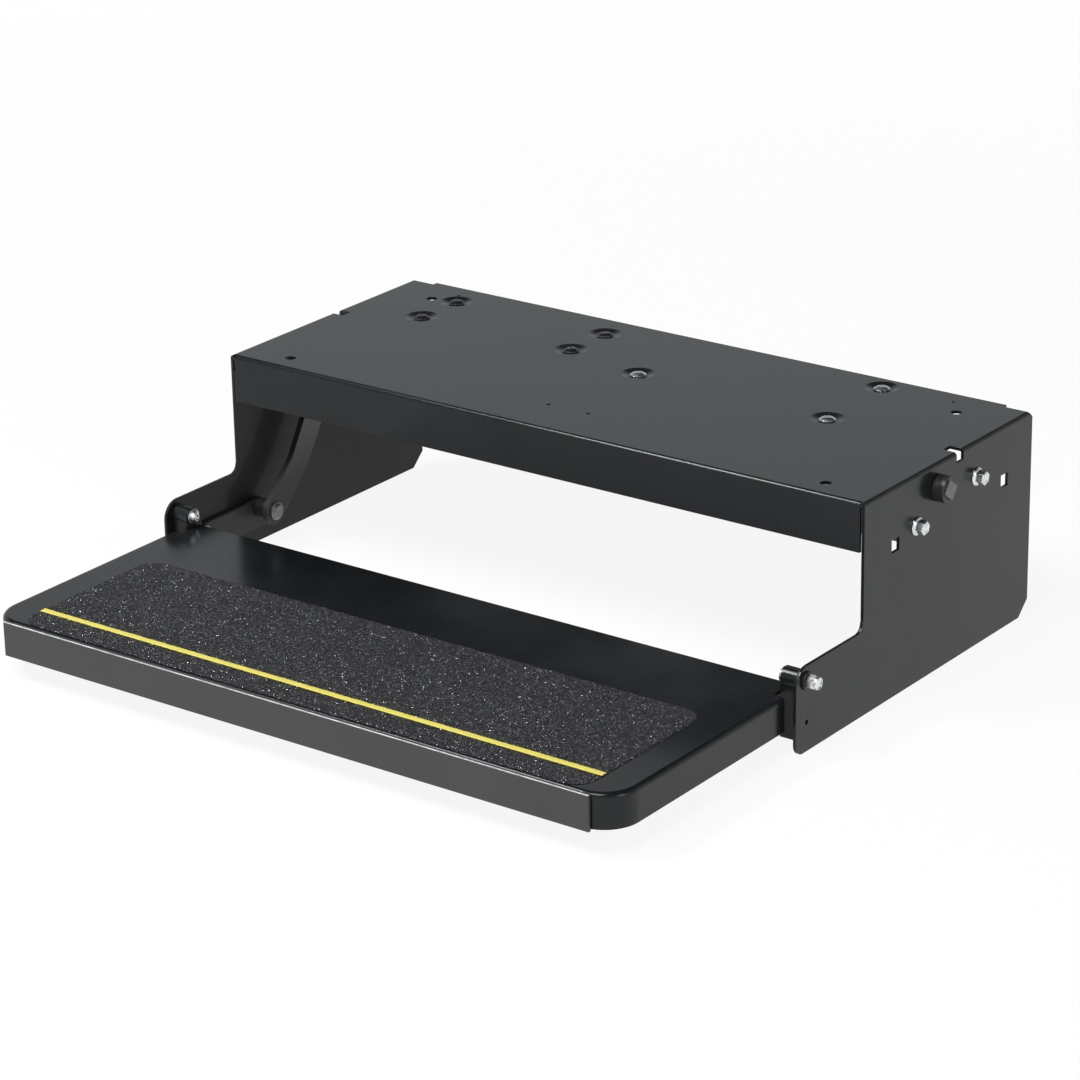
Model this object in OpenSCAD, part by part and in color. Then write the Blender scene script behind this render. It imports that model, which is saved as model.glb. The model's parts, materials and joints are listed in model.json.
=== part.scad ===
// Caravan pull out step: a folded sheet housing that bolts under the floor, with two low
// arms that carry a wide tread. A motor turns a square shaft, whose crank and flat bar at
// the left fold the tread up on its hinge bolts. X is the width, -Y the front, +Z up.
// The origin is the middle of the four mounting holes on the housing's upper face.

/* [Housing] */
// Overall width over the side plates
housing_w = 600; // [560:1:660]
// Depth of the top plate, front to rear
housing_d = 240; // [236:1:270]
// Height of the side plates
plate_h = 167; // [166:1:176]
// Height of the front flange
flange_h = 39; // [30:1:45]
// Thickness of the folded sheet
sheet_t = 2.5; // [2:0.1:2.9]
// Outer radius of the folds
fold_r = 3; // [3:0.5:4.5]
// Length of the arms in front of the housing
arm_reach = 89; // [84:1:94]
// Depth of the arms' upper edge below the top
arm_drop = 100; // [94:1:100]

/* [Mounting holes] */
// Distance between the mounting holes across the width
hole_pitch_x = 508; // [480:1:540]
// Distance between the mounting holes front to rear
hole_pitch_y = 184; // [170:1:184]
// Distance from the housing's front to the front holes
hole_front = 20; // [16:1:22]
// Diameter of the mounting holes
hole_dia = 9; // [7:0.5:12]

/* [Tread] */
// Gap between the tread's sides and the arms
tread_gap = 6; // [5.5:0.5:9]
// Depth of the tread, rear edge to front face
tread_d = 236; // [220:1:260]
// Height of the tread's flanges
tread_h = 27; // [26:1:29]
// Thickness of the tread's sheet
tread_t = 2.5; // [2:0.1:3]
// Radius of the tread's front corners
tread_corner_r = 28; // [20:1:32]
// Distance of the tread's upper face below the housing's top
tread_drop = 121; // [120:0.5:122]

/* [Grip mat] */
// Width of the grip mat
mat_w = 525; // [480:1:535]
// Depth of the grip mat
mat_d = 150; // [130:1:152]
// Thickness of the grip mat
mat_t = 1.2; // [0.8:0.1:2]
// Width of the yellow stripe
stripe_w = 6; // [4:0.5:10]

/* [Hinge] */
// Distance of the hinge bolts in front of the housing
hinge_front = 75; // [73:0.5:76]
// Depth of the hinge bolts below the top
hinge_drop = 111.5; // [111:0.5:112]
// Diameter of the hinge bolts
hinge_bolt_dia = 8; // [6:0.5:8]
// Outer diameter of the hinge sleeves
sleeve_dia = 15; // [13:0.5:15]

/* [Drive] */
// Distance of the drive shaft behind the housing's front
shaft_rear = 102; // [101:0.5:103]
// Depth of the drive shaft below the top
shaft_drop = 19.5; // [19:0.5:20]
// Width across the square drive shaft
shaft_w = 12; // [10:0.5:12]
// Thickness of the crank plate
crank_t = 5; // [4:0.5:5]
// Thickness of the flat bar
bar_t = 3.5; // [3:0.1:3.5]
// Diameter of the motor
motor_dia = 54; // [44:1:56]

/* [Hidden] */

$fn = 48;
e = 0.5;                                    // overrun of every cut
y_front = -(hole_pitch_y / 2 + hole_front); // housing front
y_rear = y_front + housing_d;
x_out = housing_w / 2;                      // outer face of a side plate
x_in = x_out - sheet_t;                     // inner face of a side plate
x_corner = x_in - 1.7;                      // end of the front flange, beside its gap

// Pivots as [y, z]: hinge, drive shaft, crank pin, link pin
hinge = [y_front - hinge_front, -hinge_drop];
shaft = [y_front + shaft_rear, -shaft_drop];
crank_at = shaft + [-83, -116];
link_r = 22;                                // hinge to link pin
link_at = hinge + link_r * [cos(50), -sin(50)];
crank_turn = 53;                            // rest angle of the square shaft

// Layers across the width, from a side plate inwards
bar_x = x_in - 1;                           // outer face of the bar
spacer_x = bar_x - bar_t;                   // outer end of the pin spacer
spacer_l = 12.5;
crank_x = spacer_x - spacer_l;              // outer face of the crank
shim_t = 0.6;
sleeve_x = x_in - shim_t;                   // outer end of a hinge sleeve
sleeve_l = 14.9;
bearing_t = 10;

// Fasteners on the housing as [x, y] on the top and [y, z] on a side plate
control_c = [-x_out + 144, y_front + 186];
control_pitch = [152, 47];
gear_x = x_in - 92.5;                       // inner face of the gear case
bracket_at = [[gear_x - 206, y_front + 144], [gear_x - 26, y_front + 139],
              [gear_x - 29, y_front + 222]];
bearing_at = [[y_front + 157.8, -28], [y_front + 72.3, -40.5]];
side_holes = [[y_front + 43, -45.8], [y_front + 199.6, -44.3]];
dimple = [13.5, 7.5, 1.6];                  // upper radius, floor radius, depth
screw_hole_r = 2.6;

tread_y1 = y_front - 67.5;                  // rear edge of the tread
tread_y0 = tread_y1 - tread_d;              // front face of the fascia
fascia_t = 3;
pan_y0 = tread_y0 + fascia_t;
tread_z = -tread_drop;
notch_x = sleeve_x - sleeve_l - 0.3;        // the rear corners are cut back to this
notch_y = hinge[0] - sleeve_dia / 2 - 8.5;
mat_y0 = tread_y0 + 6.5;
stripe_y = tread_y0 + 33;
foot_z = tread_z - tread_h - 9;             // lower end of the hinge brackets

function arc(c, r, a0, a1, n = 8) =
    [for (i = [0:n]) c + r * [cos(a0 + (a1 - a0) * i / n), sin(a0 + (a1 - a0) * i / n)]];
function mid(a, b) = (a + b) / 2;

// A round bar along X from x0, centred at [y, z]
module rod_x(at, x0, l, r) {
    translate([x0, at[0], at[1]]) rotate([0, 90, 0]) cylinder(h = l, r = r);
}

// Children drawn as [y, z] outlines become plates of thickness t from x0
module plate_x(x0, t) {
    translate([x0, 0, 0]) rotate([90, 0, 90]) linear_extrude(t) children();
}

// The same shape on the right and, mirrored, on the left
module both() {
    children();
    mirror([1, 0, 0]) children();
}

module side(s) {
    if (s > 0) children(); else mirror([1, 0, 0]) children();
}

// Quarter ring of a fold, as an outline: flat sheet leaves it at 0 and at 90 degrees
module fold_2d(r, t) {
    intersection() {
        difference() { circle(r); circle(r - t); }
        square(r + 1);
    }
}

/* Housing */
module side_outline() {
    y0 = y_front - arm_reach;
    polygon(concat(
        [[y_front, -fold_r]],
        [[y_front, -arm_drop + 7]], arc([y_front - 8, -arm_drop + 7.5], 7.5, 0, -90),
        arc([y0 + 15, -arm_drop - 15], 15, 90, 180),
        arc([y0 + 9, -plate_h + 9], 9, 180, 270),
        [[y_rear - 13, -plate_h], [y_rear, -plate_h + 12], [y_rear, -fold_r]]));
}

module housing_sheet() {
    translate([-x_out + fold_r, y_front + fold_r, -sheet_t])
        cube([housing_w - 2 * fold_r, housing_d - fold_r, sheet_t]);
    both() {
        plate_x(x_in, sheet_t) side_outline();
        translate([x_out - fold_r, y_rear, -fold_r]) rotate([90, 0, 0])
            linear_extrude(housing_d) fold_2d(fold_r, sheet_t);
    }
    // front fold and flange
    translate([-x_corner, y_front + fold_r, -fold_r]) rotate([90, 0, 90])
        linear_extrude(2 * x_corner) mirror([1, 0]) fold_2d(fold_r, sheet_t);
    translate([-x_corner, y_front, -flange_h])
        cube([2 * x_corner, sheet_t, flange_h - fold_r + 0.01]);
    for (p = screw_points())
        translate([p[0], p[1], -sheet_t - dimple[2]])
            cylinder(h = dimple[2] + 0.1, r1 = dimple[1] + sheet_t, r2 = dimple[0] + sheet_t * 0.6);
}

function control_points() =
    [for (i = [-1, 1], j = [-1, 1]) control_c + [i * control_pitch[0], j * control_pitch[1]] / 2];
function screw_points() = concat(control_points(), bracket_at);

module housing() {
    color("#2b2e31") difference() {
        housing_sheet();
        for (i = [-1, 1], j = [-1, 1])
            translate([i * hole_pitch_x / 2, j * hole_pitch_y / 2, -sheet_t - e])
                cylinder(h = sheet_t + 2 * e, d = hole_dia);
        for (p = screw_points()) {
            translate([p[0], p[1], -dimple[2]])
                cylinder(h = dimple[2] + 0.01, r1 = dimple[1], r2 = dimple[0]);
            translate([p[0], p[1], -10]) cylinder(h = 12, r = screw_hole_r);
        }
        // two tooling holes and a drain hole beside each rear mounting hole
        for (x = [-16, 22])
            translate([x, y_front + 45.5, -sheet_t - e]) cylinder(h = sheet_t + 2 * e, r = 1.8);
        both() {
            translate([240, y_front + 223, -sheet_t - e])
                cylinder(h = sheet_t + 2 * e, r = 1.5);
            // slot across the fold
            translate([x_out - 12, y_front + 128, -8.5]) cube([12 + e, 10, 8.5 + e]);
            // rear end of the fold
            translate([x_out - 3, y_rear - 8, -8]) rotate([45, 0, 0])
                translate([-20, 8 * sqrt(0.5) + 2.4, -20]) cube([40, 20, 40]);
            for (p = side_holes) translate([x_in - e, p[0] - 5.25, p[1] - 5.25])
                cube([sheet_t + 2 * e, 10.5, 10.5]);
            rod_x(shaft, x_in - e, sheet_t + 2 * e, 9.4);
            for (p = bearing_at) rod_x(p, x_in - e, sheet_t + 2 * e, 3.1);
            rod_x(hinge, x_in - e, sheet_t + 2 * e, hinge_bolt_dia / 2 + 0.05);
            rod_x([y_front - 75, -144], x_in - e, sheet_t + 2 * e, 2);
        }
    }
}

module corner_welds() {
    color("#17181a") both() {
        translate([mid(x_corner, x_in), y_front + 1.6, -15]) cylinder(h = 10, r = 0.84);
    }
}

/* Shaft bearings */
module bearing_plate(s) {
    color("#3a3c3e") side(s) difference() {
        plate_x(x_in - bearing_t, bearing_t) polygon([
            [bearing_at[1][0] - 14, -32], [bearing_at[1][0] - 6, -12], [shaft[0] - 12, -7],
            [shaft[0] + 11, -7], [shaft[0] + 22, -20.5], [bearing_at[0][0] + 10, -20.5],
            [bearing_at[0][0] + 14, -24], [bearing_at[0][0] + 14, -37],
            [bearing_at[0][0] + 6, -42], [bearing_at[1][0] + 8, -50],
            [bearing_at[1][0] - 14, -50]]);
        rod_x(shaft, x_in - bearing_t - e, bearing_t + 2 * e, 9.05);
        for (p = bearing_at) rod_x(p, x_in - bearing_t - e, bearing_t + 2 * e, 3.02);
    }
}
module bearing_plate_l() { bearing_plate(-1); }
module bearing_plate_r() { bearing_plate(1); }

module bearing_bolts() {
    color("#c9ccd0") both() for (p = bearing_at) {
        rod_x(p, x_in - bearing_t, bearing_t + sheet_t + 0.1, 3);
        rod_x(p, x_out, 1.6, 7.3);
        translate([x_out + 1.5, p[0], p[1]]) rotate([0, 90, 0])
            cylinder(h = 7, d = 10 / cos(30), $fn = 6);
    }
}

/* Gear case and motor, inside the housing */
gear_w = 34;
cover_w = 4;
motor_at = [y_front + 152, -12.5 - motor_dia / 2];
gear_y = [shaft[0] - 22, motor_at[0] + 34];
gear_z = [motor_at[1] - 28.5, -6];

module gear_block(x0, l) {
    difference() {
        translate([x0, gear_y[0], gear_z[0]])
            cube([l, gear_y[1] - gear_y[0], gear_z[1] - gear_z[0]]);
        rod_x(shaft, x0 - e, l + 2 * e, 9.2);
        // the front lower corner follows the reduction inside
        translate([x0 - e, gear_y[0] - 1, gear_z[0] - 1]) rotate([-38, 0, 0])
            translate([0, -40, -30]) cube([l + 2 * e, 80, 40]);
    }
}
gear_screw_at = [[gear_y[0] + 7, gear_z[1] - 27], [gear_y[1] - 7, gear_z[1] - 7],
                 [gear_y[1] - 7, gear_z[0] + 7], [gear_y[0] + 44, gear_z[1] - 7]];
module gear_case() {
    color("#b9bcc0") difference() {
        gear_block(gear_x, gear_w);
        for (p = gear_screw_at) rod_x(p, gear_x + gear_w - 12, 12 + e, 2.05);
    }
}
module gear_cover() {
    color("#b9bcc0") difference() {
        gear_block(gear_x + gear_w, cover_w);
        for (p = gear_screw_at) rod_x(p, gear_x + gear_w - e, cover_w + 2 * e, 2.1);
    }
}
module gear_screws() {
    color("#c9ccd0") for (p = gear_screw_at) {
        rod_x(p, gear_x + gear_w - 11, 11 + cover_w + 0.1, 2);
        rod_x(p, gear_x + gear_w + cover_w, 2.4, 3.6);
    }
}
motor_l = 122;
module motor_can() {
    color("#4a4c4f") union() {
        rod_x(motor_at, gear_x - motor_l, motor_l, motor_dia / 2);
        rod_x(motor_at, gear_x - 6, 6, motor_dia / 2 + 1.2);
    }
}
module motor_cap() {
    color("#1c1d1f") union() {
        rod_x(motor_at, gear_x - motor_l - 16, 16, motor_dia / 2 - 1);
        rod_x(motor_at, gear_x - motor_l - 21, 5.1, 9);
    }
}
bracket_z = -sheet_t - dimple[2];           // underside of the dimples
module motor_bracket() {
    color("#2b2e31") difference() {
        union() {
            translate([bracket_at[0][0] - 13, y_front + 128, bracket_z - 2.5])
                cube([bracket_at[1][0] - bracket_at[0][0] + 28, 28, 2.5]);
            translate([bracket_at[2][0] - 16, y_front + 154, bracket_z - 2.5])
                cube([34, 80, 2.5]);
            // two clamps round the motor, each with a saddle under the plate
            for (x = [gear_x - 105, gear_x - 55]) {
                rod_x(motor_at, x, 16, motor_dia / 2 + 2.4);
                translate([x, motor_at[0] - 12, motor_at[1]])
                    cube([16, 24, bracket_z - 1 - motor_at[1]]);
            }
        }
        for (p = bracket_at) translate([p[0], p[1], bracket_z - 6]) cylinder(h = 8, r = 2.6);
        rod_x(motor_at, gear_x - 145, 145, motor_dia / 2 + 0.05);
    }
}
module pan_screw(p, l, head_r) {
    translate([p[0], p[1], -dimple[2] - l]) cylinder(h = l + 0.1, r = 2.5);
    translate([p[0], p[1], -dimple[2]]) cylinder(h = 1.2, r = head_r);
    translate([p[0], p[1], -dimple[2] + 1.1]) cylinder(h = 1.9, r1 = head_r - 0.6, r2 = head_r - 2.4);
}
module bracket_screws() {
    color("#c9ccd0") for (p = bracket_at) difference() {
        pan_screw(p, 11, 6.5);
        translate([p[0], p[1], -0.8]) cylinder(h = 3, d = 3.5, $fn = 6);
    }
}
module bracket_nuts() {
    color("#c9ccd0") for (p = bracket_at) translate([p[0], p[1], bracket_z - 6.7]) difference() {
        cylinder(h = 4.1, d = 9, $fn = 6);
        translate([0, 0, -e]) cylinder(h = 6, r = 2.55);
    }
}

/* Control box */
box_size = [176, 68, 30];
module control_box() {
    color("#232527") difference() {
        translate([control_c[0] - box_size[0] / 2, control_c[1] - box_size[1] / 2,
                   bracket_z - box_size[2]]) cube(box_size);
        translate([control_c[0] - box_size[0] / 2 + 16, control_c[1] - box_size[1] / 2 + 3,
                   bracket_z - box_size[2] - e])
            cube([box_size[0] - 32, box_size[1] - 6, box_size[2] - 3 + e]);
        for (p = control_points())
            translate([p[0], p[1], bracket_z - 16]) cylinder(h = 17, r = 2.55);
        translate([control_c[0] - 40, control_c[1] + box_size[1] / 2 + 1, bracket_z - 15])
            rotate([90, 0, 0]) cylinder(h = 6, r = 8.05);
    }
}
module control_lid() {
    color("#1c1d1f")
        translate([control_c[0] - box_size[0] / 2, control_c[1] - box_size[1] / 2,
                   bracket_z - box_size[2] - 3]) cube([box_size[0], box_size[1], 3]);
}
module control_screws() {
    color("#1c1d1f") for (p = control_points()) difference() {
        pan_screw(p, 15, 6.5);
        translate([p[0] - 3, p[1] - 0.6, 0]) cube([6, 1.2, 2]);
        translate([p[0] - 0.6, p[1] - 3, 0]) cube([1.2, 6, 2]);
    }
}
module inlet_socket() {
    color("#111214")
        translate([control_c[0] - 40, control_c[1] + box_size[1] / 2 + 12, bracket_z - 15])
            rotate([90, 0, 0]) difference() {
                union() {
                    cylinder(h = 12, r = 10);
                    cylinder(h = 15, r = 8);
                }
                translate([0, 0, -e]) cylinder(h = 9, r = 7);
            }
}

/* Stop behind the crank */
crank_dir = (crank_at - shaft) / norm(crank_at - shaft);
crank_half = 11.5;
buffer_r = 7;
buffer_at = shaft + 30 * crank_dir
    + (crank_half + buffer_r + 3.6) * [-crank_dir[1], crank_dir[0]];
module stop_buffer() {
    color("#141415") side(-1) difference() {
        rod_x(buffer_at, crank_x - crank_t - 1, x_in - crank_x + crank_t, buffer_r);
        rod_x(buffer_at, crank_x - crank_t + 4, 40, 3.02);
    }
}
module buffer_stud() {
    color("#3a3c3e") side(-1) union() {
        rod_x(buffer_at, crank_x - crank_t + 5, x_in - crank_x + crank_t - 5, 3);
        rod_x(buffer_at, x_in - 1, 1, 5.5);
    }
}

/* Hinge hardware on the arms */
// The right bolt carries a nut outside its arm, and the left one ends flush with its arm
module hinge_bolts() {
    color("#c9ccd0") for (s = [-1, 1]) side(s) difference() {
        union() {
            rod_x(hinge, sleeve_x - sleeve_l - 0.4,
                  sleeve_l + shim_t + sheet_t + (s > 0 ? 11 : 0.7), hinge_bolt_dia / 2);
            translate([sleeve_x - sleeve_l - 0.4, hinge[0], hinge[1]]) rotate([0, -90, 0])
                cylinder(h = 1.4, r = 6.6);
            translate([sleeve_x - sleeve_l - 1.7, hinge[0], hinge[1]]) rotate([0, -90, 0])
                cylinder(h = 2.9, r1 = 6.4, r2 = 4.2);
        }
        translate([sleeve_x - sleeve_l - 2, hinge[0], hinge[1]]) rotate([0, -90, 0])
            cylinder(h = 4, d = 5.2, $fn = 6);
    }
}
washer_t = 2;
module hinge_nut() {
    color("#c9ccd0") difference() {
        translate([x_out + washer_t, hinge[0], hinge[1]]) rotate([0, 90, 0]) union() {
            cylinder(h = 6.6, d = 11.6, $fn = 6);
            cylinder(h = 8.6, r = 4.9);
        }
        rod_x(hinge, x_out, 12, hinge_bolt_dia / 2 + 0.05);
    }
}
module hinge_washer() {
    color("#161719") difference() {
        rod_x(hinge, x_out, washer_t, 7);
        rod_x(hinge, x_out - e, 4, hinge_bolt_dia / 2 + 0.05);
    }
}
module hinge_shims() {
    color("#161719") both() difference() {
        rod_x(hinge, x_in - shim_t + 0.1, shim_t - 0.1, 7);
        rod_x(hinge, x_in - 2, 4, hinge_bolt_dia / 2 + 0.05);
    }
}

/* Drive shaft with its crank */
module square_rod(x0, l, w) {
    translate([x0, shaft[0], shaft[1]]) rotate([crank_turn, 0, 0])
        translate([0, -w / 2, -w / 2]) cube([l, w, w]);
}
module drive_shaft() {
    color("#6a6d70") square_rod(-x_out - 11.5, 2 * x_out + 23, shaft_w);
}
module shaft_bush(s) {
    color("#141517") side(s) difference() {
        union() {
            rod_x(shaft, x_in - bearing_t, bearing_t + sheet_t + 1, 9);
            rod_x(shaft, x_out + 0.4, 9.6, 10.5);
        }
        square_rod(x_in - bearing_t - e, 40, shaft_w + 0.1);
    }
}
module shaft_bush_l() { shaft_bush(-1); }
module shaft_bush_r() { shaft_bush(1); }

crank_knee = mid(shaft, crank_at) + 26 * crank_dir + 7 * [-crank_dir[1], crank_dir[0]];
crank_x0 = crank_x - crank_t;               // inner face of the crank
module crank() {
    color("#2b2e31") side(-1) difference() {
        union() {
            hull() {
                rod_x(shaft, crank_x0, crank_t, crank_half + 1);
                rod_x(crank_knee, crank_x0, crank_t, crank_half - 0.5);
            }
            hull() {
                rod_x(crank_knee, crank_x0, crank_t, crank_half - 0.5);
                rod_x(crank_at, crank_x0, crank_t, crank_half);
            }
        }
        square_rod(crank_x0 - e, crank_t + 2 * e, shaft_w + 0.1);
        rod_x(crank_at, crank_x0 - e, crank_t + 2 * e, 4.02);
    }
}
module crank_pin() {
    color("#3a3c3e") side(-1) union() {
        rod_x(crank_at, crank_x0 - 0.1, crank_t + spacer_l + bar_t + 0.4, 4);
        rod_x(crank_at, crank_x0 - 1.5, 1.5, 7.5);
        translate([crank_x0 - 1.4, crank_at[0], crank_at[1]]) rotate([0, -90, 0])
            cylinder(h = 2.1, r1 = 7, r2 = 5);
    }
}
module pin_spacer() {
    color("#161719") side(-1) difference() {
        rod_x(crank_at, crank_x, spacer_l - 0.4, 8);
        rod_x(crank_at, crank_x - e, spacer_l + 2 * e, 4.02);
    }
}

/* Flat bar, open at the link pin */
slot_half = 3.6;                            // clearance of the open pivot, up and down
slot_r = 4.55;
eye_r = 6.8;
slot_at = link_at + [1.2, 0];
bar_y = [link_at[0] - 2, crank_at[0] + 11];
bar_z = [crank_at[1] - 17.5, crank_at[1] + 6.5];
module flat_bar() {
    x0 = bar_x - bar_t;
    color("#2b2e31") side(-1) difference() {
        union() {
            plate_x(x0, bar_t) polygon(concat(
                arc([bar_y[1] - 8, bar_z[1] - 8], 8, 90, 0),
                arc([bar_y[1] - 8, bar_z[0] + 8], 8, 0, -90),
                arc([bar_y[0] + 8, bar_z[0] + 8], 8, -90, -180),
                [[bar_y[0], bar_z[1]]]));
            for (k = [-1, 1]) rod_x(slot_at + [0, k * slot_half], x0, bar_t, eye_r);
            translate([x0, slot_at[0] - eye_r, slot_at[1] - slot_half])
                cube([bar_t, 2 * eye_r, 2 * slot_half]);
        }
        rod_x(crank_at, x0 - e, bar_t + 2 * e, 4.05);
        for (k = [-1, 1])
            rod_x(slot_at + [0, k * slot_half], x0 - e, bar_t + 2 * e, slot_r);
        translate([x0 - e, slot_at[0] - slot_r, slot_at[1] - slot_half])
            cube([bar_t + 2 * e, 2 * slot_r, 2 * slot_half]);
    }
}

/* Tread */
pan_r = 4;                                  // outer radius of the tread's folds
x_tread = x_in - tread_gap;
// Solid tray, upside down: top at z 0, front at y0, front corners rc, folded edges rf
module tray(half_w, y0, y1, h, rc, rf) {
    translate([-half_w + rf, y0 + rc, -rf - 1]) cube([2 * (half_w - rf), y1 - y0 - rc, rf + 1]);
    translate([-half_w, y0 + rc, -h]) cube([2 * half_w, y1 - y0 - rc, h - rf]);
    translate([-half_w + rc, y0 + rf, -rf - 1]) cube([2 * (half_w - rc), rc, rf + 1]);
    translate([-half_w + rc, y0, -h]) cube([2 * (half_w - rc), rc + 1, h - rf]);
    rod_x([y0 + rf, -rf], -half_w + rc, 2 * (half_w - rc), rf);
    both() {
        translate([half_w - rf, y1, -rf]) rotate([90, 0, 0]) cylinder(h = y1 - y0 - rc, r = rf);
        translate([half_w - rc, y0 + rc, 0]) rotate([0, 0, -90]) rotate_extrude(angle = 90) {
            translate([0, -h]) square([rc, h - rf]);
            translate([0, -rf - 1]) square([rc - rf, rf + 1]);
            intersection() {
                translate([rc - rf, -rf]) circle(rf);
                translate([rc - rf - 0.5, -h]) square([rf + 0.5, h]);
            }
        }
    }
}
module tread_pan() {
    rear_h = 18;
    color("#2b2e31") translate([0, 0, tread_z]) difference() {
        tray(x_tread, pan_y0, tread_y1, tread_h, tread_corner_r, pan_r);
        translate([0, 0, -tread_t]) tray(x_tread - tread_t, pan_y0 + tread_t, tread_y1 - tread_t,
                                         tread_h, tread_corner_r - tread_t, pan_r - tread_t);
        // the rear corners make room for the hinge brackets, and the rear flange is lower
        both() translate([notch_x, notch_y, -2 * tread_h]) cube([50, 100, 3 * tread_h]);
        translate([-x_tread, notch_y, -2 * tread_h]) cube([2 * x_tread, 100, 2 * tread_h - rear_h]);
    }
}
module tread_fascia() {
    w = 2 * (x_tread - tread_corner_r) + 17;
    color("#33353a") union() {
        translate([-w / 2 + 8.5, tread_y0, tread_z - tread_h - 0.7])
            cube([w - 17, fascia_t, tread_h + 0.7]);
        // the ends stand free where the corners curve away
        both() translate([w / 2 - 8.6, tread_y0, tread_z - tread_h - 0.7])
            cube([8.6, fascia_t - 0.6, tread_h + 0.7]);
    }
}
module rounded_sheet(w, d, t, r) {
    translate([-w / 2 + r, 0, 0]) cube([w - 2 * r, d, t]);
    translate([-w / 2, r, 0]) cube([w, d - 2 * r, t]);
    for (x = [-w / 2 + r, w / 2 - r], y = [r, d - r]) translate([x, y, 0]) cylinder(h = t, r = r);
}
module grip_mat() {
    color("#3b3a3d") difference() {
        translate([0, mat_y0, tread_z]) rounded_sheet(mat_w, mat_d, mat_t, 18);
        translate([-mat_w / 2 - e, stripe_y - stripe_w / 2, tread_z - e])
            cube([mat_w + 2 * e, stripe_w, mat_t + 2 * e]);
    }
}
module mat_stripe() {
    color("#e8dc50") translate([-mat_w / 2, stripe_y - stripe_w / 2 + 0.02, tread_z])
        cube([mat_w, stripe_w - 0.04, mat_t]);
}

/* Hinge brackets on the tread */
module hinge_bracket(s) {
    x0 = sleeve_x - sleeve_l;
    y0 = hinge[0] - sleeve_dia / 2;
    color("#1f2123") side(s) difference() {
        union() {
            // leaf
            plate_x(x0, 3) polygon(concat(
                [[y0, hinge[1]], [y0, foot_z]],
                arc([link_at[0] + 2, foot_z + 8], 8, -90, 0),
                arc([link_at[0] + 2, tread_z - tread_t - 8.4], 8, 0, 90),
                [[hinge[0] + 7, tread_z - tread_t - 0.4], [hinge[0] + 7, hinge[1]]]));
            // front web
            translate([x0, y0, foot_z]) cube([sleeve_l, 3, hinge[1] - foot_z]);
        }
        rod_x(hinge, x0 - e, sleeve_l + 2 * e, sleeve_dia / 2 + 0.02);
        rod_x(link_at, x0 - e, 3 + 2 * e, 3.02);
        // the tread's own edge stands inside the web
        translate([x0 - e, y0 - e, hinge[1] - 3]) cube([sleeve_l + 2 * e, 20, 10]);
    }
}
module hinge_bracket_l() { hinge_bracket(-1); }
module hinge_bracket_r() { hinge_bracket(1); }
module hinge_sleeves() {
    color("#1f2123") both() difference() {
        rod_x(hinge, sleeve_x - sleeve_l, sleeve_l, sleeve_dia / 2);
        rod_x(hinge, sleeve_x - sleeve_l - e, sleeve_l + 2 * e, hinge_bolt_dia / 2 + 0.05);
    }
}
module link_pin() {
    x0 = sleeve_x - sleeve_l;
    color("#3a3c3e") side(-1) union() {
        rod_x(link_at, x0 - 0.1, bar_x + 0.3 - x0, 3);
        rod_x(link_at, x0 - 1.8, 1.8, 5);
    }
}

housing();
corner_welds();
bearing_plate_l();
bearing_plate_r();
bearing_bolts();
gear_case();
gear_cover();
gear_screws();
motor_can();
motor_cap();
motor_bracket();
bracket_screws();
bracket_nuts();
control_box();
control_lid();
control_screws();
inlet_socket();
stop_buffer();
buffer_stud();
hinge_bolts();
hinge_nut();
hinge_washer();
hinge_shims();
drive_shaft();
shaft_bush_l();
shaft_bush_r();
crank();
crank_pin();
pin_spacer();
flat_bar();
tread_pan();
tread_fascia();
grip_mat();
mat_stripe();
hinge_bracket_l();
hinge_bracket_r();
hinge_sleeves();
link_pin();
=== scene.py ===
"""Caravan pull out step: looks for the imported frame, in metres, with the frame's own axes."""

import json
import math
import random

import bmesh
import bpy
import numpy as np
from mathutils import Matrix, Vector


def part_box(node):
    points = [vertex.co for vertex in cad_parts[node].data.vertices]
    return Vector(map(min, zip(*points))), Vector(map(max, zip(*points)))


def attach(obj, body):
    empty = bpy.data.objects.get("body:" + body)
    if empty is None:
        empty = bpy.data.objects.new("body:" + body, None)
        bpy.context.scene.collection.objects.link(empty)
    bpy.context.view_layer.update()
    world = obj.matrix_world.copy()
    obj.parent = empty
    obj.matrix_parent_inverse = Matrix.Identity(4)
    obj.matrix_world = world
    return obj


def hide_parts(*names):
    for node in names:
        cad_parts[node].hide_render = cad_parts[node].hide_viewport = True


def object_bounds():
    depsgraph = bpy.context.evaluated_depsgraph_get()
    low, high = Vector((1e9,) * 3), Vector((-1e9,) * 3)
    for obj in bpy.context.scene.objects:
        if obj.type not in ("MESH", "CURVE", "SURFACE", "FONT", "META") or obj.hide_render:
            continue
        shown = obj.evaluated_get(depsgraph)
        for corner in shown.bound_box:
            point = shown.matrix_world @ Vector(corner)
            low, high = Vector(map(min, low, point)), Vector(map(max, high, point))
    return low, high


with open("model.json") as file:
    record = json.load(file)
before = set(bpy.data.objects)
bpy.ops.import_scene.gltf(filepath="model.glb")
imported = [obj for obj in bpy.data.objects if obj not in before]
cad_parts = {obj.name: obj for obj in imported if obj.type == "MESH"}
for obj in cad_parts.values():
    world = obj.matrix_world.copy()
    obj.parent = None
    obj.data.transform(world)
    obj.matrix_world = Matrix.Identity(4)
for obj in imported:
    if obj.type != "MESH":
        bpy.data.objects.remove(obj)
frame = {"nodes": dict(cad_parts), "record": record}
cad_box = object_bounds()
nodes = frame["nodes"]

MM = 0.001

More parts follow.
